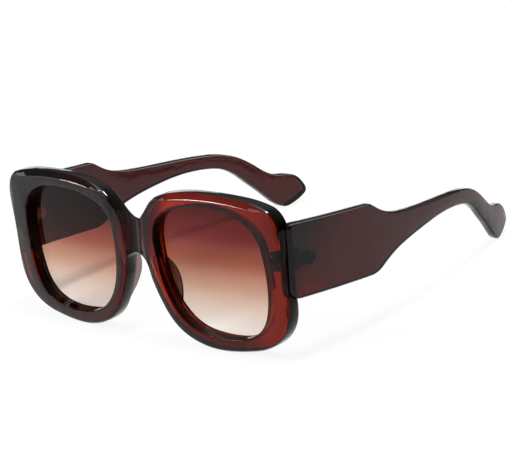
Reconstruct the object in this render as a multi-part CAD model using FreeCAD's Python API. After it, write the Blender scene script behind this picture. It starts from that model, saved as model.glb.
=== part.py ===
import FreeCAD, Part
import math
import os

# Oversized sunglasses: a thick moulded front, two tinted lenses, two wide temples on metal hinges.
# Lengths are millimetres and angles are degrees.
# The model is drawn as worn: X across the face, Y back along the temples, Z up, with the datum
# on the middle of the front face. At the end it is laid down as it rests on a table.

# Front
front_width = 143.8
brow_height = 31.2
chin_drop = 25.8
front_depth = 6.0
front_curve_radius = 640.0
front_tilt = 5.3
rim_side = 8.6
rim_top = 5.3
rim_bottom = 4.7
front_edge_break = 0.8
opening_edge_break = 0.4
rear_edge_break = 1.3
brow_bevel_height = 2.6
brow_bevel_depth = 0.8
brow_bevel_radius = 137.0
brow_bevel_centre = 39.8
brow_step = 0.35

# Bridge and nose
lens_distance = 22.0
bridge_top = 17.4
bridge_arch = 5.8
bridge_recess = 1.8
bridge_recess_width = 10.6
bridge_recess_lean = 6.0
nose_half_width = 5.9
nose_slope = 0.266
nose_curve = 0.0134
pad_top = 5.0
pad_length = 23.0
pad_peak_drop = 6.5
pad_reach = 4.4
pad_flare_angle = 18.0
pad_thickness = 2.4
pad_edge_inset = 0.9
pad_edge_break = 0.6

# Lenses
lens_recess = 3.5
lens_thickness = 1.8
groove_depth = 1.0
lens_play = 0.05

# Temples
temple_thickness = 3.8
temple_length = 128.4
temple_top = 23.1
panel_height = 26.5
panel_length = 36.9
panel_taper = 1.2
panel_top_corner = 2.0
panel_bottom_corner = 3.8
arm_top_drop = 6.1
arm_height = 5.8
ear_bend_reach = 91.6
tip_drop = 31.4
tip_height = 13.2
tip_length = 11.2
bow_radius = 238.0
bow_peak_reach = 31.2
temple_stand_out = 1.7
temple_edge_break = 0.7
side_lip = 2.0
end_bevel_length = 4.8
end_bevel_depth = 1.6
joint_gap = 0.3

# Hinges
hinge_height = 9.8
hinge_setback = 2.3
hinge_inset = 1.85
barrel_radius = 1.5
barrel_height = 1.3
barrel_gap = 0.06
barrel_count = 5
barrel_room = 0.15
screw_radius = 0.7
screw_fit = 0.04
screw_head_radius = 1.25
screw_head_height = 0.7
screw_slot_width = 0.35
screw_slot_depth = 0.35
leaf_thickness = 0.8
front_leaf_width = 3.7
front_anchor_width = 2.4
front_anchor_depth = 3.0
anchor_notch = 0.9
anchor_notch_depth = 2.0
anchor_notch_count = 2
temple_leaf_length = 6.8
temple_leaf_height = 4.4
temple_anchor_depth = 1.6

# How closely the arcs of an outline follow its drawn curve
outline_tolerance = 0.1

V = FreeCAD.Vector
X_AXIS = V(1, 0, 0)
Y_AXIS = V(0, 1, 0)
Z_AXIS = V(0, 0, 1)
ORIGIN = V(0, 0, 0)
SPAN = 4 * front_width

half_width = front_width / 2
lens_inner_edge = lens_distance / 2
lens_outer_edge = half_width - rim_side
opening_top = brow_height - rim_top
opening_bottom = rim_bottom - chin_drop


def smooth_curve(points, heading, final_heading):
    """Arcs that run smoothly through points, with the directions in which they start and end."""
    curve = Part.BSplineCurve()
    curve.interpolate(Points=points, InitialTangent=heading, FinalTangent=final_heading, Scale=False)
    return [arc.toShape() for arc in curve.toBiArcs(outline_tolerance)]


def closed_curve(outline, depth):
    """A closed wire at one depth behind the front face, from an outline's outer and inner halves.

    The outer half runs from the top point to the bottom point, the inner half back up again,
    and both are level where they meet.
    """
    outer, inner = [[V(x, depth, z) for x, z in half] for half in outline]
    return Part.Wire(smooth_curve(outer, X_AXIS, -X_AXIS) + smooth_curve(inner, -X_AXIS, X_AXIS))


def straight_back(outline):
    """A prism of a closed outline that runs from before the front to well behind it."""
    return Part.Face(closed_curve(outline, -front_depth)).extrude(V(0, 4 * front_depth, 0))


def curved_layer(near, far):
    """The layer of the front's curve between two depths."""
    base = V(0, front_curve_radius, -SPAN / 2)
    outer = Part.makeCylinder(front_curve_radius - near, SPAN, base, Z_AXIS)
    inner = Part.makeCylinder(front_curve_radius - far, SPAN, base, Z_AXIS)
    return outer.cut(inner)


def mirrored(shape):
    return shape.mirror(ORIGIN, X_AXIS)


def curve_sag(x, depth):
    """How far behind the datum the front's curve lies at x, on the surface at this depth."""
    return front_curve_radius - math.sqrt((front_curve_radius - depth) ** 2 - x ** 2)


def tilted(shape):
    """Leans the front's pieces: the brow comes forward of the chin."""
    turned = shape.copy()
    turned.rotate(ORIGIN, X_AXIS, front_tilt)
    return turned


def worn_y(x, depth, height):
    """Y of a point of the leaning front, given its height above the datum."""
    lean = math.radians(front_tilt)
    sag = curve_sag(x, depth)
    return (sag - height * math.sin(lean)) / math.cos(lean)


# Front frame
def nose_flank(drop):
    """Half width of the nose gap at a distance below the datum."""
    return nose_half_width + nose_slope * drop + nose_curve * drop ** 2


def front_outline():
    """Outer outline of the front, from the bridge over the brow, down the side and back to the nose."""
    bridge_rise = brow_height - bridge_top
    brow = [(0.114, 0.377), (0.181, 0.71), (0.299, 0.913), (0.515, 1.0), (0.737, 0.957)]
    corner = [(0.908, 0.81), (0.964, 0.663), (0.995, 0.392)]
    side = [(1.0, 0.32), (1.0, -0.155), (0.982, -0.484), (0.885, -0.802)]
    chin = [(0.695, -0.961), (0.501, -1.0), (0.334, -0.915)]
    flank = [0.674, 0.349, 0.039]
    points = [(share * half_width, bridge_top + rise * bridge_rise) for share, rise in brow + corner]
    points += [(u * half_width, v * (brow_height if v > 0 else chin_drop)) for u, v in side + chin]
    points += [(nose_flank(share * chin_drop), -share * chin_drop) for share in flank]
    points += [(0.78 * nose_half_width, 0.62 * bridge_arch)]
    left = [(0, bridge_top)] + points + [(0, bridge_arch)]
    right = [(-x, z) for x, z in reversed(left)]
    return left, right


def lens_outline(margin):
    """A lens opening's outline, grown by a margin all round, on the wearer's left."""
    outer = [(0.51, 1.0), (0.75, 0.972), (0.945, 0.843), (0.998, 0.62), (0.992, 0.364), (0.908, 0.123),
             (0.74, 0.021), (0.56, 0.0)]
    inner = [(0.56, 0.0), (0.4, 0.012), (0.22, 0.081), (0.073, 0.257), (0.0, 0.632), (0.038, 0.849),
             (0.22, 0.962), (0.51, 1.0)]
    left = lens_inner_edge - margin
    low = opening_bottom - margin
    width = lens_outer_edge - lens_inner_edge + 2 * margin
    height = opening_top - opening_bottom + 2 * margin
    return [[(left + u * width, low + v * height) for u, v in half] for half in (outer, inner)]


def edges_on_layer(shape, depth):
    """The edges that lie wholly on the front's curve at one depth."""
    found = []
    for edge in shape.Edges:
        ends = edge.ParameterRange
        places = [edge.valueAt(ends[0] + share * (ends[1] - ends[0])) for share in (0.1, 0.35, 0.6, 0.85)]
        if all(abs(p.y - curve_sag(p.x, depth)) < 0.001 for p in places):
            found.append(edge)
    return found


def cylinders_along(shape, direction):
    """The cylindrical faces whose axis runs along a direction."""
    round_faces = [face for face in shape.Faces if isinstance(face.Surface, Part.Cylinder)]
    return [face for face in round_faces if abs(face.Surface.Axis.dot(direction)) > 0.99]


def bridge_trough():
    """The round cutter that hollows the bridge's face between the rims, deeper towards the top."""
    radius = (bridge_recess_width ** 2 / 4 + bridge_recess ** 2) / (2 * bridge_recess)
    middle = V(0, bridge_recess, (bridge_top + bridge_arch) / 2)
    trough = Part.makeCylinder(radius, SPAN, middle - V(0, radius, SPAN / 2), Z_AXIS)
    trough.rotate(middle, X_AXIS, -bridge_recess_lean)
    return trough


def brow_cutter():
    """What the sloping facet along the left brow takes off: all that lies outside two wide cones.

    The steep cone makes the facet. The other, at half a right angle, makes the small step below it.
    """
    lean = math.asin(brow_bevel_centre / front_curve_radius)
    inward = V(-math.sin(lean), math.cos(lean), 0)
    middle = V(brow_bevel_centre, curve_sag(brow_bevel_centre, 0), brow_height - brow_bevel_radius)
    step_radius = brow_bevel_radius - brow_bevel_height
    slope = brow_bevel_height / brow_bevel_depth
    facet_radius = step_radius + brow_step - slope * brow_step
    ahead = front_depth
    behind = 2 * front_depth
    cutter = Part.makeBox(half_width, ahead + behind, brow_height, V(0, -ahead, bridge_top))
    for radius, spread in ((step_radius, 1), (facet_radius, slope)):
        cone = Part.makeCone(radius - spread * ahead, radius + spread * behind, ahead + behind,
                             middle - inward * ahead, inward)
        cone.rotate(middle, inward, 180)
        cutter = cutter.cut(cone)
    return cutter


def rim_blank():
    """The front before the temples and hinges are let in, not yet leaning."""
    blank = straight_back(front_outline()).common(curved_layer(0, front_depth))
    blank = blank.makeChamfer(rear_edge_break, edges_on_layer(blank, front_depth))
    blank = blank.makeChamfer(front_edge_break, edges_on_layer(blank, 0))
    outer_places = [edge.CenterOfMass for edge in edges_on_layer(blank, 0)]
    opening = straight_back(lens_outline(0))
    for window in (opening, mirrored(opening)):
        blank = blank.cut(window)
    rims = [edge for edge in edges_on_layer(blank, 0)
            if min(edge.CenterOfMass.distanceToPoint(place) for place in outer_places) > opening_edge_break]
    blank = blank.makeChamfer(opening_edge_break, rims)
    groove = straight_back(lens_outline(groove_depth))
    groove = groove.common(curved_layer(lens_recess, lens_recess + lens_thickness))
    blank = blank.cut(bridge_trough())
    for cutter in (brow_cutter(), groove):
        blank = blank.cut(cutter)
        blank = blank.cut(mirrored(cutter))
    return blank


def lens():
    """One lens, with a little play in its groove."""
    body = straight_back(lens_outline(groove_depth - lens_play))
    near = lens_recess + lens_play
    return body.common(curved_layer(near, near + lens_thickness - 2 * lens_play))


def nose_pad():
    """A curved plate that flares back and out from the nose side of the rim, its free edge an arc."""
    flare = math.radians(pad_flare_angle)
    along = V(math.sin(flare), math.cos(flare), 0)
    across = V(math.cos(flare), -math.sin(flare), 0)
    pad_bottom = pad_top - pad_length
    pad_middle = (pad_top + pad_bottom) / 2
    inner = []
    for z in (pad_top, pad_middle, pad_bottom):
        root = V(nose_flank(-z) + pad_edge_inset, front_depth, z)
        inner.append(root - along * root.dot(along))
    outer = [p + across * pad_thickness for p in inner]
    strip = [Part.Arc(*inner).toShape(), Part.LineSegment(inner[2], outer[2]).toShape(),
             Part.Arc(*reversed(outer)).toShape(), Part.LineSegment(outer[0], inner[0]).toShape()]
    plate = Part.Face(Part.Wire(strip)).extrude(along * SPAN)

    root_y = front_depth - rear_edge_break
    high = V(0, root_y, pad_top)
    low = V(0, root_y, pad_bottom)
    peak = V(0, front_depth + pad_reach, pad_top - pad_peak_drop)
    free_edge = smooth_curve([high, peak, low], Y_AXIS, (low - peak).normalize())
    lobe = Part.Face(Part.Wire(free_edge + [Part.LineSegment(low, high).toShape()]))
    pad = plate.common(lobe.extrude(V(half_width, 0, 0)))
    rims = []
    for face in cylinders_along(pad, along):
        rims += [e for e in face.Edges if e.BoundBox.YMax > front_depth]
    return pad.makeChamfer(pad_edge_break, rims)


# Temples
temple_start = worn_y(half_width, side_lip, hinge_height) + joint_gap
bow_peak_y = temple_start + bow_peak_reach
bow_rise = bow_radius - math.sqrt(bow_radius ** 2 - bow_peak_reach ** 2)
bow_centre = V(half_width + temple_stand_out + bow_rise - bow_radius, bow_peak_y, 0)


def bow_x(inset, y):
    """X of the temple's bowed face, or of a surface set in from its outer face, at one Y."""
    return bow_centre.x + math.sqrt((bow_radius - inset) ** 2 - (y - bow_peak_y) ** 2)


def bow_cylinder(inset):
    """The cylinder that the temple's faces follow, with its seam turned away from the temple."""
    body = Part.makeCylinder(bow_radius - inset, SPAN, bow_centre - V(0, 0, SPAN / 2), Z_AXIS)
    body.rotate(bow_centre, Z_AXIS, 180)
    return body


def side_prism(edges):
    """A prism across X of a closed side-view outline."""
    return Part.Face(Part.Wire(edges)).extrude(V(SPAN, 0, 0))


def line(start, end):
    return Part.LineSegment(V(0, *start), V(0, *end)).toShape()


def corner_bend(before, corner, after, radius):
    """Rounds a corner of a side view: the bend's start, its arc and its end."""
    arrive = (V(0, *before) - V(0, *corner)).normalize()
    leave = (V(0, *after) - V(0, *corner)).normalize()
    half_angle = arrive.getAngle(leave) / 2
    tangent = radius / math.tan(half_angle)
    start = V(0, *corner) + arrive * tangent
    end = V(0, *corner) + leave * tangent
    inward = (arrive + leave).normalize()
    middle = V(0, *corner) + inward * (radius / math.sin(half_angle) - radius)
    return start, Part.Arc(start, middle, end).toShape(), end


def front_end(front, top, bottom, lower_end, upper_end, growth):
    """Edges from a lower end point round the temple's front end to an upper end point."""
    low_corner = (front, bottom)
    high_corner = (front, top)
    low_radius = panel_bottom_corner + growth
    high_radius = panel_top_corner + growth
    low_start, low_arc, low_stop = corner_bend(lower_end, low_corner, high_corner, low_radius)
    high_start, high_arc, high_stop = corner_bend(low_corner, high_corner, upper_end, high_radius)
    return [Part.LineSegment(V(0, *lower_end), low_start).toShape(), low_arc,
            Part.LineSegment(low_stop, high_start).toShape(), high_arc,
            Part.LineSegment(high_stop, V(0, *upper_end)).toShape()]


def temple_profile():
    """Side view of a temple: wide panel, slim arm, bend behind the ear and a rounded tip."""
    bottom = temple_top - panel_height
    panel_end = temple_start + panel_length
    bend = temple_start + ear_bend_reach
    tip_end = temple_start + temple_length
    arm_top = temple_top - arm_top_drop
    arm_bottom = arm_top - arm_height
    tip_bottom = temple_top - tip_drop
    tip_top = tip_bottom + tip_height
    neck = tip_end - tip_length
    panel_bottom = bottom + panel_taper
    arm = bend - panel_end
    drop = neck - bend
    fall = arm_top - tip_top
    rise = arm_bottom - panel_bottom
    step = temple_top - arm_top
    descent = arm_bottom - tip_bottom
    upper = [(panel_end, temple_top),
             (panel_end + 0.045 * arm, temple_top - 0.15 * step),
             (panel_end + 0.125 * arm, temple_top - 0.57 * step),
             (panel_end + 0.235 * arm, temple_top - 0.87 * step),
             (panel_end + 0.4 * arm, arm_top),
             (panel_end + 0.9 * arm, arm_top),
             (bend + 0.11 * drop, arm_top - 0.05 * fall),
             (bend + 0.4 * drop, arm_top - 0.22 * fall),
             (bend + 0.65 * drop, arm_top - 0.55 * fall),
             (bend + 0.86 * drop, arm_top - 0.88 * fall),
             (neck, tip_top),
             (neck + 0.5 * tip_length, tip_top - 0.04 * tip_height),
             (neck + 0.68 * tip_length, tip_top - 0.115 * tip_height),
             (neck + 0.92 * tip_length, tip_top - 0.36 * tip_height),
             (tip_end, tip_top - 0.55 * tip_height)]
    lower = [upper[-1],
             (neck + 0.86 * tip_length, tip_bottom + 0.26 * tip_height),
             (neck + 0.5 * tip_length, tip_bottom + 0.06 * tip_height),
             (neck + 0.25 * tip_length, tip_bottom),
             (neck + 0.08 * tip_length, tip_bottom + 0.05 * tip_height),
             (bend + 0.78 * drop, arm_bottom - 0.67 * descent),
             (bend + 0.53 * drop, arm_bottom - 0.38 * descent),
             (bend + 0.26 * drop, arm_bottom - 0.1 * descent),
             (bend, arm_bottom),
             (panel_end + 0.66 * arm, panel_bottom + 0.93 * rise),
             (panel_end + 0.48 * arm, panel_bottom + 0.775 * rise),
             (panel_end + 0.31 * arm, panel_bottom + 0.57 * rise),
             (panel_end + 0.185 * arm, panel_bottom + 0.34 * rise),
             (panel_end + 0.083 * arm, panel_bottom + 0.09 * rise),
             (panel_end, panel_bottom)]
    along_bottom = V(0, temple_start - panel_end, bottom - panel_bottom).normalize()
    upper_curve = smooth_curve([V(0, y, z) for y, z in upper], Y_AXIS, -Z_AXIS)
    lower_curve = smooth_curve([V(0, y, z) for y, z in lower], -Z_AXIS, along_bottom)
    front_edges = front_end(temple_start, temple_top, bottom, lower[-1], upper[0], 0)
    return upper_curve + lower_curve + front_edges


def end_bevel():
    """The wedge taken off the inside of the temple's front end, so that it clears the rim as it folds."""
    front_x = bow_x(temple_thickness, temple_start) + end_bevel_depth
    back_y = temple_start + end_bevel_length
    corners = [V(front_x, temple_start), V(bow_x(temple_thickness, back_y), back_y),
               V(front_x - temple_thickness, back_y), V(front_x - temple_thickness, temple_start)]
    wedge = Part.Face(Part.makePolygon(corners + corners[:1])).extrude(V(0, 0, SPAN))
    wedge.translate(V(0, 0, -SPAN / 2))
    return wedge


def temple_blank():
    """A left temple before its hinge leaf is let in, with the edges of both faces broken."""
    body = side_prism(temple_profile()).common(bow_cylinder(0).cut(bow_cylinder(temple_thickness)))
    rims = [edge for face in cylinders_along(body, Z_AXIS) for edge in face.Edges]
    return body.makeChamfer(temple_edge_break, rims).cut(end_bevel())


def side_rebate():
    """The seat that the left temple's front end closes into."""
    bottom = temple_top - panel_height - joint_gap
    top = temple_top + joint_gap
    behind = temple_start + bow_peak_reach
    edges = front_end(temple_start - joint_gap, top, bottom, (behind, bottom), (behind, top), joint_gap)
    edges.append(line((behind, top), (behind, bottom)))
    return side_prism(edges).cut(bow_cylinder(temple_thickness + joint_gap))


# Hinges
axis_y = worn_y(half_width - rim_side / 2, front_depth, hinge_height) + hinge_setback
face_x = bow_x(temple_thickness, axis_y)
axis_x = face_x - hinge_inset
hinge_tall = barrel_count * barrel_height + (barrel_count - 1) * barrel_gap
hinge_bottom = hinge_height - hinge_tall / 2


def upright(radius, low, high):
    """A cylinder on the left hinge's axis."""
    return Part.makeCylinder(radius, high - low, V(axis_x, axis_y, low), Z_AXIS)


def block(x0, x1, y0, y1, z0, z1):
    """A box between the two corners, measured from the left hinge's axis in X and Y."""
    return Part.makeBox(x1 - x0, y1 - y0, z1 - z0, V(axis_x + x0, axis_y + y0, z0))


def barrel_levels(own):
    """Bottom and top of each barrel of one leaf: the front leaf owns the even ones."""
    pitch = barrel_height + barrel_gap
    lows = [hinge_bottom + n * pitch for n in range(barrel_count) if n % 2 == own]
    return [(low, low + barrel_height) for low in lows]


def leaf_with_barrels(plate, web, own, bore):
    """Joins one leaf's plate to its barrels, clears the other leaf's barrels and bores the pin hole."""
    leaf = plate
    for low, high in barrel_levels(1 - own):
        room = upright(barrel_radius + barrel_room, low - barrel_gap, high + barrel_gap)
        leaf = leaf.cut(room)
    for low, high in barrel_levels(own):
        x0, x1, y0, y1 = web
        leaf = leaf.fuse([upright(barrel_radius, low, high), block(x0, x1, y0, y1, low, high)])
    through = upright(bore, hinge_bottom - barrel_height, hinge_bottom + hinge_tall + barrel_height)
    return leaf.cut(through).removeSplitter()


def front_leaf():
    """The leaf on the back of the front: plate, three barrels and a notched anchor in the plastic."""
    low = hinge_bottom
    high = hinge_bottom + hinge_tall
    lean = hinge_tall / 2 * math.tan(math.radians(front_tilt))
    back = -hinge_setback + lean + leaf_thickness
    plate = block(-front_leaf_width, screw_radius, -hinge_setback - lean, back, low, high)
    anchor = block(-front_leaf_width, front_anchor_width - front_leaf_width,
                   -hinge_setback - front_anchor_depth, -hinge_setback, low, high)
    tip = -hinge_setback - front_anchor_depth
    for n in range(anchor_notch_count):
        middle = low + (n + 0.5) / anchor_notch_count * hinge_tall
        notch = block(-front_leaf_width, anchor_notch - front_leaf_width, tip, tip + anchor_notch_depth,
                      middle - anchor_notch / 2, middle + anchor_notch / 2)
        anchor = anchor.cut(notch)
    web = (-barrel_radius, screw_radius, -hinge_setback, 0)
    return leaf_with_barrels(plate.fuse(anchor), web, 0, screw_radius)


def temple_leaf():
    """The leaf let into a temple's inner face: two barrels and a plate with a rounded end."""
    round_end = temple_leaf_height / 2
    low = hinge_height - round_end
    high = hinge_height + round_end
    deep = hinge_inset + temple_anchor_depth
    shallow = hinge_inset - leaf_thickness
    plate = block(shallow, deep, barrel_radius, temple_leaf_length - round_end, low, high)
    end_centre = V(axis_x + shallow, axis_y + temple_leaf_length - round_end, hinge_height)
    end = Part.makeCylinder(round_end, deep - shallow, end_centre, X_AXIS)
    web = (0, deep, -screw_radius, barrel_radius + barrel_room)
    return leaf_with_barrels(plate.fuse(end), web, 1, screw_radius + screw_fit)


def hinge_screw():
    """The slotted screw that the temple turns on, held by the front leaf's barrels."""
    top = hinge_bottom + hinge_tall
    shank = upright(screw_radius, hinge_bottom, top)
    head = upright(screw_head_radius, top, top + screw_head_height)
    slot = block(-screw_head_radius, screw_head_radius, -screw_slot_width / 2, screw_slot_width / 2,
                 top + screw_head_height - screw_slot_depth, top + screw_head_height)
    return shank.fuse(head).cut(slot).removeSplitter()


# Assembly as worn
leaf_front = front_leaf()
leaf_temple = temple_leaf()
screw = hinge_screw()
temple = temple_blank().cut(leaf_temple)

front_blank = rim_blank()
pad = nose_pad().cut(front_blank)
front = tilted(front_blank)
for rebate in (side_rebate(), leaf_front):
    front = front.cut(rebate)
    front = front.cut(mirrored(rebate))

left_pieces = {
    "lens": tilted(lens()),
    "nose_pad": tilted(pad),
    "temple": temple,
    "front_hinge_leaf": leaf_front,
    "temple_hinge_leaf": leaf_temple,
    "hinge_screw": screw,
}
nodes = {"front_frame": front}
for name, shape in left_pieces.items():
    nodes[name + "_left"] = shape
    nodes[name + "_right"] = mirrored(shape)


# Resting on a table
def low_point(shape, pitch):
    """Lowest Z of a shape after it is pitched back about X."""
    turned = shape.copy()
    turned.rotate(ORIGIN, X_AXIS, -pitch)
    return turned.optimalBoundingBox(False, False).ZMin


rest_pitch = 0.0
for trial in range(6):
    drop = low_point(temple, rest_pitch) - low_point(front, rest_pitch)
    rest_pitch += math.degrees(math.atan2(drop, temple_start + temple_length))

lay = FreeCAD.Rotation(X_AXIS, -rest_pitch)
for shape in nodes.values():
    shape.rotate(ORIGIN, X_AXIS, -rest_pitch)
whole = FreeCAD.BoundBox()
for shape in nodes.values():
    whole.add(shape.optimalBoundingBox(False, False))
shift = V(-whole.Center.x, -whole.Center.y, -whole.ZMin)

os.makedirs("parts", exist_ok=True)
for name, shape in nodes.items():
    shape.translate(shift)
    shape.exportStep(os.path.join("parts", name + ".step"))
    print(name, "solids", len(shape.Solids), "valid", shape.isValid(), "volume", round(shape.Volume, 2))

axis_point = lay.multVec(V(axis_x, axis_y, hinge_height)) + shift
axis_line = lay.multVec(Z_AXIS)
overall = (whole.XLength, whole.YLength, whole.ZLength)
print("rest pitch", round(rest_pitch, 3), "overall", [round(v, 2) for v in overall])
print("left hinge axis through", [round(v, 4) for v in axis_point], "along", [round(v, 6) for v in axis_line])
print("datum", [round(v, 3) for v in shift])
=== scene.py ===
# %% [markdown]
# # Oversized sunglasses
# A thick moulded front, two graded lenses and two wide temples on metal hinges, laid on a white
# table. The solids already have their final shapes, so this lesson is about finish: soft edges,
# clear coloured plastic, graded lenses, plated metal, and the light that makes them read.

# %% Load the frame
import math
import bmesh
import bpy
from mathutils import Matrix, Vector


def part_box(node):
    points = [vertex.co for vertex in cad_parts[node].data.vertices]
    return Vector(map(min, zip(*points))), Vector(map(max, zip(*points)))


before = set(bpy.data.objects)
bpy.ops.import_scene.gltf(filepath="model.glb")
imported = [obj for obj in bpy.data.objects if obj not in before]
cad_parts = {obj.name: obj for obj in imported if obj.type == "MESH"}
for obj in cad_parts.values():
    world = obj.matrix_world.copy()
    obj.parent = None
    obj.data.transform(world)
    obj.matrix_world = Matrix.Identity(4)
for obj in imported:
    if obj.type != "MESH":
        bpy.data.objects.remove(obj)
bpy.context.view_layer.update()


print("nodes", sorted(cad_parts))

# %% [markdown]
# ## The camera
# The picture was taken from the side of the left temple, a little above, with a long lens and a
# tilted camera. A camera can be placed by eye, or by an angle round the object, a height angle, a
# roll and a distance. The angles are used here, because each can be set against the picture by
# itself.

# %% Place the camera
IMAGE_WIDTH = 512
CAMERA_AZIMUTH = math.radians(49.073)
CAMERA_ELEVATION = math.radians(18.080)
CAMERA_ROLL = math.radians(-10.449)
CAMERA_DISTANCE = 1.126385
CAMERA_TARGET = Vector((-0.00003, -0.00639, 0.01756))
CAMERA_SHIFT = (-0.0071, -0.0014)
FOCAL_PIXELS = 3073.0
SENSOR_WIDTH = 36.0


def place_camera():
    back = Vector((math.sin(CAMERA_AZIMUTH) * math.cos(CAMERA_ELEVATION),
                   -math.cos(CAMERA_AZIMUTH) * math.cos(CAMERA_ELEVATION),
                   math.sin(CAMERA_ELEVATION)))
    level = Vector((math.cos(CAMERA_AZIMUTH), math.sin(CAMERA_AZIMUTH), 0))
    right = level * math.cos(CAMERA_ROLL) + back.cross(level) * math.sin(CAMERA_ROLL)
    up = back.cross(right)
    camera = bpy.data.objects.new("camera", bpy.data.cameras.new("camera"))
    camera.matrix_world = Matrix((right, up, back)).transposed().to_4x4()
    camera.location = CAMERA_TARGET + back * CAMERA_DISTANCE
    camera.data.sensor_width = SENSOR_WIDTH
    camera.data.lens = FOCAL_PIXELS * SENSOR_WIDTH / IMAGE_WIDTH
    camera.data.shift_x, camera.data.shift_y = CAMERA_SHIFT
    bpy.context.scene.collection.objects.link(camera)
    bpy.context.scene.camera = camera
    return camera


camera = place_camera()
print("lens", round(camera.data.lens, 1), "mm")

# %% [markdown]
# ## Node helpers
# Edges and materials are small graphs of nodes. They could be wired line by line, but a few
# helpers keep them short. The first ones feed a socket with a link or a number, fill the named
# inputs of a node, add a node or a sum, and write a colour. The next ones make a group once and
# place it in a material with its own values. The last ones start a material from a plain
# Principled shader and put it on named pieces.

# %% Helpers for nodes


def feed(tree, socket, value):
    if isinstance(value, bpy.types.NodeSocket):
        tree.links.new(value, socket)
    else:
        socket.default_value = value


def fill(tree, node, inputs):
    for name, value in inputs.items():
        feed(tree, node.inputs[name.replace("_", " ")], value)


def add(tree, kind, **inputs):
    node = tree.nodes.new("ShaderNode" + kind)
    fill(tree, node, inputs)
    return node


def maths(tree, operation, *values, kind="Math", result="Value"):
    node = add(tree, kind)
    node.operation = operation
    for socket, value in zip(node.inputs, values):
        feed(tree, socket, value)
    return node.outputs[result]


def opaque(colour):
    return (*colour, 1.0)


def grey(level):
    return opaque((level, level, level))


WHITE = grey(1.0)
print("white is written as", WHITE)

# %% Helpers for groups


def new_group(name, inputs, outputs):
    group = bpy.data.node_groups.new(name, "ShaderNodeTree")
    for way, sockets in (("INPUT", inputs), ("OUTPUT", outputs)):
        for socket, kind in sockets.items():
            group.interface.new_socket(socket, in_out=way, socket_type="NodeSocket" + kind)
    start = group.nodes.new("NodeGroupInput")
    end = group.nodes.new("NodeGroupOutput")
    print("group", name, "gives", ", ".join(outputs))
    return group, start.outputs, end.inputs


def use_group(tree, group, **inputs):
    node = add(tree, "Group")
    node.node_tree = group
    fill(tree, node, inputs)
    return node.outputs


print("groups so far", len(bpy.data.node_groups))

# %% Helpers for materials


def new_material(name):
    material = bpy.data.materials.new(name)
    material.use_nodes = True
    tree = material.node_tree
    return material, tree, tree.nodes["Principled BSDF"]


def dress(nodes, material):
    for name in nodes:
        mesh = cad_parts[name].data
        mesh.materials.clear()
        mesh.materials.append(material)
    print(material.name, "on", ", ".join(nodes))


def both(name):
    return [name + "_left", name + "_right"]


print("a pair is written as", both("lens"))

# %% [markdown]
# ## Soft edges
# Polished plastic has no knife edges: a broken edge catches the light as one smooth line. The
# solids have their edges broken by narrow flats, and their triangles come apart at each face.
# A Bevel modifier could round the flats, but would change the shape. Joining the triangles and
# weighting the normals by face area makes each flat shade as a round, without moving a point.
# The step under the brow is cut crisp on the real front, so edges that bend as much as it does
# stay sharp. It is done with modifiers, so the solids stay as they are.

# %% Join and shade the solids
JOIN_DISTANCE = 0.000002
CREASE_ANGLE = math.radians(62)
STEP_ANGLES = (math.radians(24), math.radians(37))


def soft_edge_group():
    group = bpy.data.node_groups.new("soft_edges", "GeometryNodeTree")
    for way in ("INPUT", "OUTPUT"):
        group.interface.new_socket("Geometry", in_out=way, socket_type="NodeSocketGeometry")
    nodes, links = group.nodes, group.links
    start = nodes.new("NodeGroupInput")
    join = nodes.new("GeometryNodeMergeByDistance")
    join.inputs["Distance"].default_value = JOIN_DISTANCE
    bend = nodes.new("GeometryNodeInputMeshEdgeAngle").outputs["Unsigned Angle"]
    crease = maths(group, "GREATER_THAN", bend, CREASE_ANGLE)
    low, high = STEP_ANGLES
    step = maths(group, "COMPARE", bend, (low + high) / 2, (high - low) / 2)
    smooth_faces = nodes.new("GeometryNodeSetShadeSmooth")
    smooth_faces.domain = "FACE"
    crisp_edges = nodes.new("GeometryNodeSetShadeSmooth")
    crisp_edges.domain = "EDGE"
    crisp_edges.inputs["Shade Smooth"].default_value = False
    end = nodes.new("NodeGroupOutput")
    links.new(start.outputs[0], join.inputs["Geometry"])
    links.new(join.outputs["Geometry"], smooth_faces.inputs["Geometry"])
    links.new(smooth_faces.outputs["Geometry"], crisp_edges.inputs["Geometry"])
    links.new(maths(group, "MAXIMUM", crease, step), crisp_edges.inputs["Selection"])
    links.new(crisp_edges.outputs["Geometry"], end.inputs[0])
    return group


def soften(piece, group):
    joined = piece.modifiers.new("soft_edges", "NODES")
    joined.node_group = group
    weighted = piece.modifiers.new("weighted_normals", "WEIGHTED_NORMAL")
    weighted.mode = "FACE_AREA"
    weighted.keep_sharp = True


soft_edges = soft_edge_group()
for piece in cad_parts.values():
    soften(piece, soft_edges)
print("softened", len(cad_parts), "pieces")

# %% [markdown]
# ## Moulded surface
# Moulded and tumbled plastic isn't a perfect mirror: the polish varies a little over a few
# millimetres, the colour is faintly cloudy, and the skin has a very slight swell. A picture of
# smears would have to be unwrapped, so all three come from noise on Object coordinates, in a
# group that every moulded or plated finish shares.

# %% Group for polish, cloud and swell
CLOUD = dict(Scale=45.0, Detail=4.0, Distortion=0.8)
SMEAR = dict(Scale=180.0, Detail=5.0, Roughness=0.6)
SMEAR_LOW, SMEAR_HIGH = 0.35, 0.7
SWELL_DETAIL = 1.0


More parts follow.
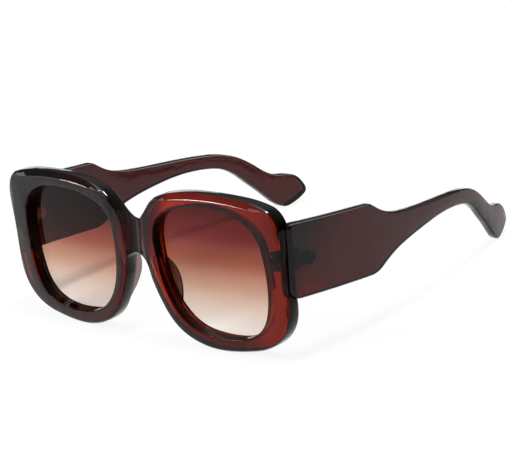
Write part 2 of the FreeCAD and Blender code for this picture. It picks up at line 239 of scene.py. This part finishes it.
def polish_group():
    group, given, result = new_group(
        "moulded_polish",
        {"Low Roughness": "Float", "High Roughness": "Float", "Swell Scale": "Float"},
        {"Roughness": "Float", "Height": "Float", "Cloud": "Float"})
    place = add(group, "TexCoord").outputs["Object"]
    cloud = add(group, "TexNoise", Vector=place, **CLOUD)
    smear = add(group, "TexNoise", Vector=place, **SMEAR)
    swell = add(group, "TexNoise", Vector=place, Scale=given["Swell Scale"], Detail=SWELL_DETAIL)
    spread = add(group, "MapRange", Value=smear.outputs["Fac"],
                 From_Min=SMEAR_LOW, From_Max=SMEAR_HIGH,
                 To_Min=given["Low Roughness"], To_Max=given["High Roughness"])
    feed(group, result["Roughness"], spread.outputs["Result"])
    feed(group, result["Height"], swell.outputs["Fac"])
    feed(group, result["Cloud"], cloud.outputs["Fac"])
    return group


moulded_polish = polish_group()


def add_polish(tree, gloss, swell_scale):
    low, high = gloss
    return use_group(tree, moulded_polish,
                     Low_Roughness=low, High_Roughness=high, Swell_Scale=swell_scale)


# %% [markdown]
# ## Colour films: dye, painted light and painted shade
# Colour can change over a piece. On the lenses that is a real dyed fade. On the frame the films
# paint shade where it looks deeper, as where it is thick, and paint light where it looks warmer
# because light gets in. A painted picture could hold that. A ramp of colours along one direction
# of the Object coordinate is simpler, and several ramps are laid over each other like tinted
# films, by multiplying. Left and right are alike, so the coordinate is mirrored at the middle,
# unless a film is meant for one side. Mirroring and measuring along a direction are groups, since
# every film uses them.

# %% Groups for a mirrored place and a share of the way


def mirror_group():
    group, given, result = new_group("mirrored_sides", {"Place": "Vector"}, {"Place": "Vector"})
    size = maths(group, "ABSOLUTE", given["Place"], kind="VectorMath", result="Vector")
    across = add(group, "SeparateXYZ", Vector=size).outputs["X"]
    own = add(group, "SeparateXYZ", Vector=given["Place"]).outputs
    mirrored = add(group, "CombineXYZ", X=across, Y=own["Y"], Z=own["Z"])
    feed(group, result["Place"], mirrored.outputs["Vector"])
    return group


def share_group():
    group, given, result = new_group(
        "share_along",
        {"Place": "Vector", "Along": "Vector", "Low": "Float", "High": "Float"},
        {"Share": "Float"})
    reach = maths(group, "DOT_PRODUCT", given["Place"], given["Along"], kind="VectorMath")
    share = add(group, "MapRange", Value=reach, From_Min=given["Low"], From_Max=given["High"])
    feed(group, result["Share"], share.outputs["Result"])
    return group


mirrored_sides = mirror_group()
share_of_way = share_group()


def share_along(tree, place, along, span, mirrored=True):
    if mirrored:
        place = use_group(tree, mirrored_sides, Place=place)["Place"]
    low, high = span
    return use_group(tree, share_of_way, Place=place, Along=along, Low=low, High=high)["Share"]


# %% Helpers for colour films
NEW_MARK = 0.5


def colour_ramp(tree, value, stops):
    ramp = add(tree, "ValToRGB", Fac=value)
    ramp.color_ramp.interpolation = "CARDINAL"
    marks = ramp.color_ramp.elements
    while len(marks) < len(stops):
        marks.new(NEW_MARK)
    for mark, (position, colour) in zip(marks, stops):
        mark.position = position
        mark.color = opaque(colour)
    return ramp.outputs["Color"]


def times(tree, first, second, amount=1.0):
    product = add(tree, "MixRGB", Fac=amount, Color1=first, Color2=second)
    product.blend_type = "MULTIPLY"
    return product.outputs["Color"]


def layered(tree, place, films):
    tint = None
    for film in films:
        share = share_along(tree, place, film["along"], film["span"], film.get("mirrored", True))
        film_tint = colour_ramp(tree, share, film["stops"])
        tint = film_tint if tint is None else times(tree, tint, film_tint)
    return tint


print("dyes run along a direction, in metres")

# %% [markdown]
# ## Painted wall shade, painted edge glow and gleam
# A thick frame looks nearly black through its walls, shows a warm line where a broken edge
# gathers light, and a white line where a crisp step mirrors the lamp. The dark walls are painted
# shade and the warm line is painted light, both mixed into the colour; the white line is a coat
# that mirrors the real lamp. Each could be modelled as a strip of its own. Here they are masks on
# the way that the surface faces, so they stay in place from every side. A moving piece reads the
# normal in its own coordinates, so that its gleam folds with it. The gleam is a group, because the
# front, the temples and the pads all have it.

# %% Group for the gleam of an edge
UP = (0.0, 0.0, 1.0)
GLEAM_FADE = 0.005


def gleam_group():
    group, given, result = new_group(
        "edge_gleam",
        {"Place": "Vector", "Normal": "Vector", "Edge": "Vector",
         "Near": "Float", "On": "Float", "Lowest": "Float"},
        {"Gleam": "Float"})
    facing = share_along(group, given["Normal"], given["Edge"], (given["Near"], given["On"]))
    lit = maths(group, "ADD", given["Lowest"], GLEAM_FADE)
    above = share_along(group, given["Place"], UP, (given["Lowest"], lit))
    feed(group, result["Gleam"], maths(group, "MULTIPLY", facing, above))
    return group


edge_gleam = gleam_group()


def add_gleam(tree, place, normal, edge, near, lowest):
    low, high = near
    return use_group(tree, edge_gleam, Place=place, Normal=normal(tree), Edge=edge,
                     Near=low, On=high, Lowest=lowest)["Gleam"]


# %% Helpers for painted wall shade and painted edge glow
FORWARD = (0.0, -1.0, 0.0)
ANY_WAY = (-1.0, 1.0)
# Broken edges that face this way get a painted glow of light.
PAINTED_GLOW_FACING = (0.70, -0.71, 0.0)
ON_EDGE = (0.86, 0.94)
BARE, WALL_SHADE_DARK = (1.0, 1.0, 1.0), (0.2, 0.2, 0.2)
# Ramp of painted shade: dark where a wall faces sideways, bare where it faces front or back.
WALL_PAINTED_SHADE = ((0.00, BARE), (0.20, BARE), (0.33, WALL_SHADE_DARK), (0.67, WALL_SHADE_DARK), (0.80, BARE), (1.00, BARE))


def flat_normal(tree):
    return add(tree, "NewGeometry").outputs["True Normal"]


def round_normal(tree):
    return add(tree, "TexCoord").outputs["Normal"]


# Painted shade: walls that face neither forward nor back are darkened to a fifth of their colour.
def painted_wall_shade(tree, tint):
    facing = share_along(tree, flat_normal(tree), FORWARD, ANY_WAY)
    return times(tree, tint, colour_ramp(tree, facing, WALL_PAINTED_SHADE))


# Painted light: edges facing the glow direction are mixed toward a bright warm colour.
def painted_edge_glow(tree, tint, colour):
    facing = share_along(tree, flat_normal(tree), PAINTED_GLOW_FACING, ON_EDGE)
    warmed = add(tree, "MixRGB", Fac=facing, Color1=tint, Color2=opaque(colour))
    return warmed.outputs["Color"]


print("walls keep", WALL_SHADE_DARK[0], "of the light")

# %% [markdown]
# ## Clear brown plastic
# The front and temples are clear red-brown plastic: light crosses them, so thin and lit places
# glow red and deep places go nearly black. A painted colour can't do that. The shader lets light
# through, and an absorbing volume takes more of it the further it travels. On top of that, the
# colour films paint light and shade into the base colour, and the front gets painted shade on its
# walls and a painted glow on its broken edges. A thin coat, only where an edge gleams, carries the
# white lines.

# %% Build a clear plastic
PLASTIC_IOR = 1.47
SWELL_SCALE = 60.0
SWELL_HEIGHT = 0.0002
CLOUD_AMOUNT = 0.25


def clear_plastic(name, films, absorb, density, shine, gloss, swell,
                  gleam, edge_ior, edge_gloss, glow=None):
    material, tree, shader = new_material(name)
    place = add(tree, "TexCoord").outputs["Object"]
    polish = add_polish(tree, gloss, SWELL_SCALE)
    # The films paint light and shade into the base colour; the cloud adds random tone.
    tint = times(tree, layered(tree, place, films), polish["Cloud"], CLOUD_AMOUNT)
    # On the front: painted shade on the walls, then a painted glow of light on the broken edges.
    if glow:
        tint = painted_edge_glow(tree, painted_wall_shade(tree, tint), glow)
    bump = add(tree, "Bump", Height=polish["Height"], Strength=swell, Distance=SWELL_HEIGHT)
    fill(tree, shader, {
        "Base Color": tint,
        "Roughness": polish["Roughness"],
        "Coat Weight": add_gleam(tree, place, **gleam),
        "Normal": bump.outputs["Normal"],
        "Transmission Weight": 1.0,
        "IOR": PLASTIC_IOR,
        "Specular Tint": grey(shine),
        "Coat IOR": edge_ior,
        "Coat Roughness": edge_gloss,
    })
    volume = add(tree, "VolumeAbsorption", Color=opaque(absorb), Density=density)
    fill(tree, tree.nodes["Material Output"], {"Volume": volume.outputs["Volume"]})
    return material


print("plastic bends light by", PLASTIC_IOR)

# %% [markdown]
# ## The front
# The front is one thick moulding. Its colour carries painted light and shade: painted shade makes
# it nearly black at the bridge and deep in the lower rims, and painted light makes it warm red
# over the cheeks of the rims and at the outer corners. Painted shade makes the right rim deeper
# than the left one, most of all on its outer side, and darkens the top of the brow. One painted
# picture could hold all that. Five films are used, because each can be changed by itself: across
# the rim, down to the lower rim, in to the nose, side to side, and up to the brow.

# %% Dress the front
# Painted shade at the bridge, painted light over the cheeks and outer corners of the rims.
RIM_PAINTED_LIGHT_AND_SHADE = dict(along=(1.0, 0.0, -0.5), span=(-0.030, 0.061), stops=(
    (0.00, (0.07, 0.02, 0.015)),
    (0.20, (0.09, 0.02, 0.015)),
    (0.245, (0.68, 0.25, 0.08)),
    (0.48, (0.72, 0.26, 0.08)),
    (0.74, (0.39, 0.18, 0.06)),
    (0.84, (0.28, 0.15, 0.06)),
    (0.91, (0.44, 0.21, 0.07)),
    (1.00, (0.44, 0.23, 0.07)),
))
# Painted shade, darker towards the lower rims.
LOW_RIM_PAINTED_SHADE = dict(along=(0.5, 0.0, 1.0), span=(0.026, 0.038), stops=(
    (0.00, (0.50, 0.30, 0.60)),
    (1.00, BARE),
))
# Painted shade, darker in towards the nose.
NOSE_PAINTED_SHADE = dict(along=(1.0, 0.0, 0.8), span=(0.034, 0.042), stops=(
    (0.00, (0.60, 0.50, 0.60)),
    (1.00, BARE),
))
# Painted shade on the right rim only, darkest on its outer side.
RIGHT_RIM_PAINTED_SHADE = dict(along=(1.0, 0.0, 0.0), span=(-0.066, 0.006), mirrored=False, stops=(
    (0.00, (0.10, 0.22, 0.40)),
    (0.12, (0.12, 0.24, 0.42)),
    (0.30, (0.58, 0.42, 0.50)),
    (0.58, (0.58, 0.42, 0.50)),
    (0.83, (0.80, 0.42, 0.50)),
    (1.00, BARE),
))
# Painted shade at the top of the brow.
BROW_PAINTED_SHADE = dict(along=UP, span=(0.0520, 0.0545), stops=(
    (0.00, BARE),
    (1.00, (0.55, 0.50, 0.50)),
))
BROW_GLEAM = dict(normal=flat_normal, edge=(0.0, -0.70, 0.71), near=ON_EDGE, lowest=0.035)
# glow is the colour of the painted light on the front's broken edges.
front_plastic = clear_plastic(
    "front_plastic", (RIM_PAINTED_LIGHT_AND_SHADE, LOW_RIM_PAINTED_SHADE, NOSE_PAINTED_SHADE, RIGHT_RIM_PAINTED_SHADE, BROW_PAINTED_SHADE),
    absorb=(0.78, 0.22, 0.0), density=600.0, shine=0.24, gloss=(0.02, 0.06), swell=0.05,
    gleam=BROW_GLEAM, edge_ior=2.3, edge_gloss=0.04, glow=(1.0, 0.5, 0.15))
dress(["front_frame"], front_plastic)

# %% [markdown]
# ## Temples and nose pads
# The temples are a denser mix, so a wide panel looks like dark wine. Its colour is darker at the
# front end, with a painted red glow of light behind that, where the lamp gets in by the hinge, and
# a greyer tip. The pads are small and thin, so they let more light through. A plain dark colour
# would hide the hinge inside, so both use the same clear plastic as the front, with other colour
# films.

# %% Dress the temples and pads
# Painted light: a red glow at the lower front of the temple, then a darker panel and greyer tip.
TEMPLE_PAINTED_GLOW = dict(along=(0.0, 1.0, 0.8), span=(-0.045, 0.11), stops=(
    (0.00, (0.90, 0.30, 0.25)),
    (0.07, (0.90, 0.29, 0.23)),
    (0.14, (0.52, 0.30, 0.29)),
    (1.00, (0.56, 0.33, 0.33)),
))
TEMPLE_END = dict(along=(0.0, 1.0, -0.9), span=(-0.090, -0.068), stops=(
    (0.00, (0.22, 0.60, 0.65)),
    (1.00, BARE),
))
PAD_HEIGHT = dict(along=UP, span=(0.005, 0.03), stops=(
    (0.00, (0.22, 0.12, 0.10)),
    (1.00, (0.25, 0.14, 0.12)),
))
TEMPLE_GLEAM = dict(normal=round_normal, edge=(0.70, 0.0, 0.71), near=(0.962, 0.985), lowest=0.0)
temple_plastic = clear_plastic(
    "temple_plastic", (TEMPLE_PAINTED_GLOW, TEMPLE_END),
    absorb=(0.3, 0.0, 0.0), density=860.0, shine=0.5, gloss=(0.05, 0.12), swell=0.015,
    gleam=TEMPLE_GLEAM, edge_ior=4.5, edge_gloss=0.2)
pad_plastic = clear_plastic(
    "pad_plastic", (PAD_HEIGHT,),
    absorb=(0.45, 0.25, 0.22), density=300.0, shine=0.4, gloss=(0.06, 0.14), swell=0.05,
    gleam=TEMPLE_GLEAM, edge_ior=1.5, edge_gloss=0.2)
dress(both("temple"), temple_plastic)
dress(both("nose_pad"), pad_plastic)

# %% [markdown]
# ## Graded lenses
# The lenses are dyed by dipping: dark burgundy at the brow, pale cream at the cheek. A picture or
# a colour on each point could hold the fade. The colour follows the height on the lens, so one
# film on the Object coordinate is enough, and the light passes through. The right lens is painted
# a shade deeper, as painted shade, by a second film from side to side.

# %% Dress the lenses
LENS_LOW, LENS_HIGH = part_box("lens_left")
LENS_DIP = dict(along=UP, span=(LENS_LOW.z, LENS_HIGH.z), stops=(
    (0.00, (0.78, 0.71, 0.65)),
    (0.09, (0.74, 0.66, 0.60)),
    (0.32, (0.56, 0.375, 0.285)),
    (0.51, (0.330, 0.128, 0.083)),
    (0.70, (0.166, 0.036, 0.028)),
    (0.88, (0.086, 0.0135, 0.0125)),
    (1.00, (0.072, 0.0105, 0.010)),
))
# Painted shade: the right lens is darkened a little.
RIGHT_LENS_PAINTED_SHADE = dict(along=(1.0, 0.0, 0.0), span=(-0.006, 0.006), mirrored=False, stops=(
    (0.00, (0.84, 0.80, 0.79)),
    (1.00, BARE),
))
LENS_IOR = 1.25
LENS_SHINE = 0.08
LENS_SMEAR = dict(Scale=70.0, Detail=4.0)
LENS_ROUGHEST = 0.02


def lens_material():
    material, tree, shader = new_material("lens_tint")
    place = add(tree, "TexCoord").outputs["Object"]
    smear = add(tree, "TexNoise", Vector=place, **LENS_SMEAR)
    gloss = add(tree, "MapRange", Value=smear.outputs["Fac"], To_Max=LENS_ROUGHEST)
    fill(tree, shader, {
        "Base Color": layered(tree, place, (LENS_DIP, RIGHT_LENS_PAINTED_SHADE)),
        "Roughness": gloss.outputs["Result"],
        "Transmission Weight": 1.0,
        "IOR": LENS_IOR,
        "Specular Tint": grey(LENS_SHINE),
    })
    return material


dress(both("lens"), lens_material())

# %% [markdown]
# ## Plated hinges
# The hinge leaves are pressed metal with a nickel plate, and the screws are turned steel. A plain
# metal shader would look like chrome, so fine grain varies its colour and height, and the shared
# polish varies its roughness.

# %% Dress the hinges
GRAIN = dict(Scale=2600.0, Detail=3.0)
GRAIN_STRENGTH = 0.15
GRAIN_HEIGHT = 0.00005
METAL_SWELL_SCALE = 900.0


def plated_metal(name, light, dark, gloss):
    material, tree, shader = new_material(name)
    place = add(tree, "TexCoord").outputs["Object"]
    grain = add(tree, "TexNoise", Vector=place, **GRAIN).outputs["Fac"]
    tint = add(tree, "MixRGB", Fac=grain, Color1=opaque(light), Color2=opaque(dark))
    bump = add(tree, "Bump", Height=grain, Strength=GRAIN_STRENGTH, Distance=GRAIN_HEIGHT)
    fill(tree, shader, {
        "Base Color": tint.outputs["Color"],
        "Roughness": add_polish(tree, gloss, METAL_SWELL_SCALE)["Roughness"],
        "Normal": bump.outputs["Normal"],
        "Metallic": 1.0,
    })
    return material


hinge_metal = plated_metal(
    "hinge_metal", light=(0.46, 0.44, 0.42), dark=(0.35, 0.335, 0.315), gloss=(0.22, 0.40))
screw_metal = plated_metal(
    "screw_metal", light=(0.62, 0.60, 0.57), dark=(0.52, 0.50, 0.47), gloss=(0.18, 0.32))
dress(both("front_hinge_leaf") + both("temple_hinge_leaf"), hinge_metal)
dress(both("hinge_screw"), screw_metal)

# %% [markdown]
# ## White table
# The picture has a white ground with only a trace of shadow, but through the lenses the shadow of
# a temple shows as a soft band. Stronger lamps would whiten the ground, and the object with it.
# Instead the floor is a pale matt surface. To the camera and to shiny pieces it glows, so it reads
# as white with a faint shadow. Seen through clear plastic it is mostly matt, so the band shows.

# %% Make the floor
FLOOR_RADIUS = 60.0
FLOOR_SIDES = 64
BOUNCE_MATT = 0.5
SEEN_MATT, SEEN_GLOW = 0.12, 0.89
THROUGH_MATT, THROUGH_GLOW = 0.90, 0.32


def matt(tree, level):
    return add(tree, "BsdfDiffuse", Color=grey(level)).outputs["BSDF"]


def glowing(tree, level, glow):
    light = add(tree, "Emission", Color=WHITE, Strength=glow)
    total = add(tree, "AddShader")
    feed(tree, total.inputs[0], matt(tree, level))
    feed(tree, total.inputs[1], light.outputs["Emission"])
    return total.outputs["Shader"]


def chosen(tree, choice, first, second):
    choose = add(tree, "MixShader", Fac=choice)
    feed(tree, choose.inputs[1], first)
    feed(tree, choose.inputs[2], second)
    return choose.outputs["Shader"]


def floor_material():
    material, tree, shader = new_material("white_table")
    tree.nodes.remove(shader)
    path = add(tree, "LightPath").outputs
    seen = maths(tree, "MAXIMUM", path["Is Camera Ray"], path["Is Glossy Ray"])
    outside = chosen(tree, seen, matt(tree, BOUNCE_MATT), glowing(tree, SEEN_MATT, SEEN_GLOW))
    through = glowing(tree, THROUGH_MATT, THROUGH_GLOW)
    surface = chosen(tree, path["Is Transmission Ray"], outside, through)
    fill(tree, tree.nodes["Material Output"], {"Surface": surface})
    return material


def make_floor():
    mesh = bpy.data.meshes.new("floor")
    shape = bmesh.new()
    bmesh.ops.create_circle(shape, cap_ends=True, segments=FLOOR_SIDES, radius=FLOOR_RADIUS)
    shape.to_mesh(mesh)
    shape.free()
    mesh.materials.append(floor_material())
    floor = bpy.data.objects.new("floor", mesh)
    bpy.context.scene.collection.objects.link(floor)
    return floor


floor = make_floor()
print(floor.name, "radius", FLOOR_RADIUS, "m")

# %% [markdown]
# ## Studio light
# A room that is dark at the horizon and pale at the ceiling keeps the walls of the frame deep, and
# gives its upper edges something to mirror. One soft lamp overhead casts the temple's shadow, and
# a long strip at the front draws the white line along the brow. Large lamps would be softer, but
# would grey the faces.

# %% Light the scene
HORIZON_LIGHT, CEILING_LIGHT = 0.08, 0.50
HORIZON_HEIGHT, CEILING_HEIGHT = 0.15, 0.75
LAMPS = {
    "overhead": dict(
        place=(0.2, 0.1, 1.3), aim=(0.0, 0.0, 0.0), size=(0.32, 0.32), power=9.0),
    "right_front": dict(
        place=(-0.884, -0.853, 0.91), aim=(0.0, 0.0, 0.05), size=(1.0, 0.25), power=11.0),
}


def make_room():
    room = bpy.data.worlds.new("room")
    room.use_nodes = True
    tree = room.node_tree
    way = add(tree, "TexCoord").outputs["Generated"]
    height = add(tree, "SeparateXYZ", Vector=way).outputs["Z"]
    dome = add(tree, "MapRange", Value=height, From_Min=HORIZON_HEIGHT, From_Max=CEILING_HEIGHT,
               To_Min=HORIZON_LIGHT, To_Max=CEILING_LIGHT)
    fill(tree, tree.nodes["Background"], {"Color": WHITE, "Strength": dome.outputs["Result"]})
    bpy.context.scene.world = room


def soft_lamp(name, place, aim, size, power):
    lamp = bpy.data.lights.new(name, "AREA")
    lamp.shape = "RECTANGLE"
    lamp.size, lamp.size_y = size
    lamp.energy = power
    holder = bpy.data.objects.new(name, lamp)
    holder.location = place
    direction = Vector(aim) - Vector(place)
    holder.rotation_euler = direction.to_track_quat("-Z", "Y").to_euler()
    holder.visible_transmission = False
    bpy.context.scene.collection.objects.link(holder)
    print("lamp", name, power, "W")


make_room()
for name, settings in LAMPS.items():
    soft_lamp(name, **settings)
bpy.context.scene.view_settings.view_transform = "Standard"
